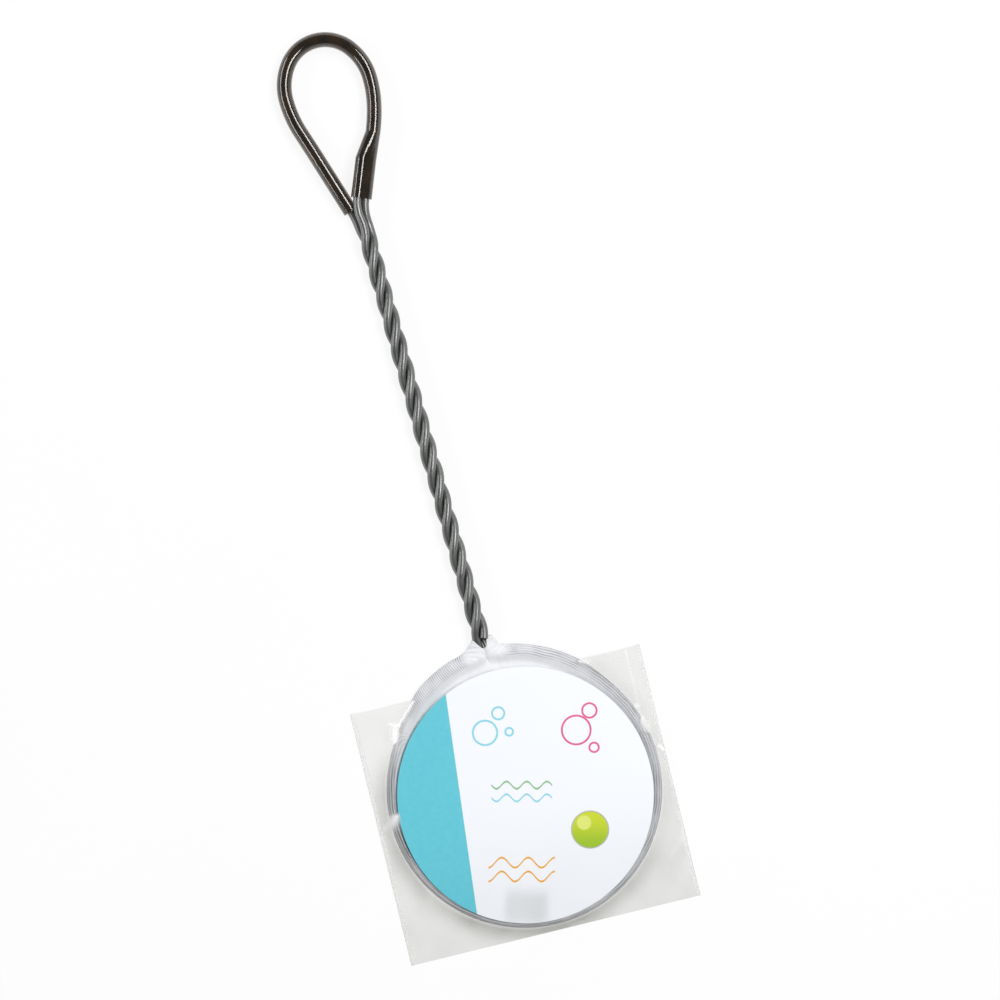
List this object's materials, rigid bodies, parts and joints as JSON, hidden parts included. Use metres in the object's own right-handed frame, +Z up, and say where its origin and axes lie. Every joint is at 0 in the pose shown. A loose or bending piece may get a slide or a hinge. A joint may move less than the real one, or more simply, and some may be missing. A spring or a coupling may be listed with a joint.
{
  "type": "aquarium fish net",
  "caption": "Aquarium hand net with a twisted coated-wire handle, sleeved hang loop and hemmed round hoop of fine mesh, packed with a round card in a slip-off clear film pouch.",
  "frame": {"origin": "centre of the hoop, on the table that the net lies on", "axes": "+Y along the handle to the hang loop, +Z up from the table, +X to the right"},
  "size_m": [0.1116, 0.3382, 0.0087],
  "materials": {
    "steel_core": "bright drawn steel wire",
    "vinyl_coat": "satin dark grey vinyl coat",
    "smoked_vinyl": "glossy smoked vinyl tube",
    "hem_mesh": "fine white mesh, doubled",
    "thread": "white sewing thread",
    "bag_mesh": "fine white mesh",
    "card": "coated white card, printed",
    "film": "clear film"
  },
  "bodies": {
    "net": {"wire_core": "steel_core", "wire_coat": "vinyl_coat", "grip_sleeve": "smoked_vinyl", "rim_hem": "hem_mesh", "hem_thread": "thread", "net_bag": "bag_mesh"},
    "pouch": {"display_card": "card", "pouch_back": "film", "pouch_front": "film"}
  },
  "joints": [
    {"name": "pouch_slide", "type": "slide", "parent": "net", "child": "pouch", "axis": [-0.0366, -0.9993, 0], "range_m": [0, 0.105]}
  ]
}
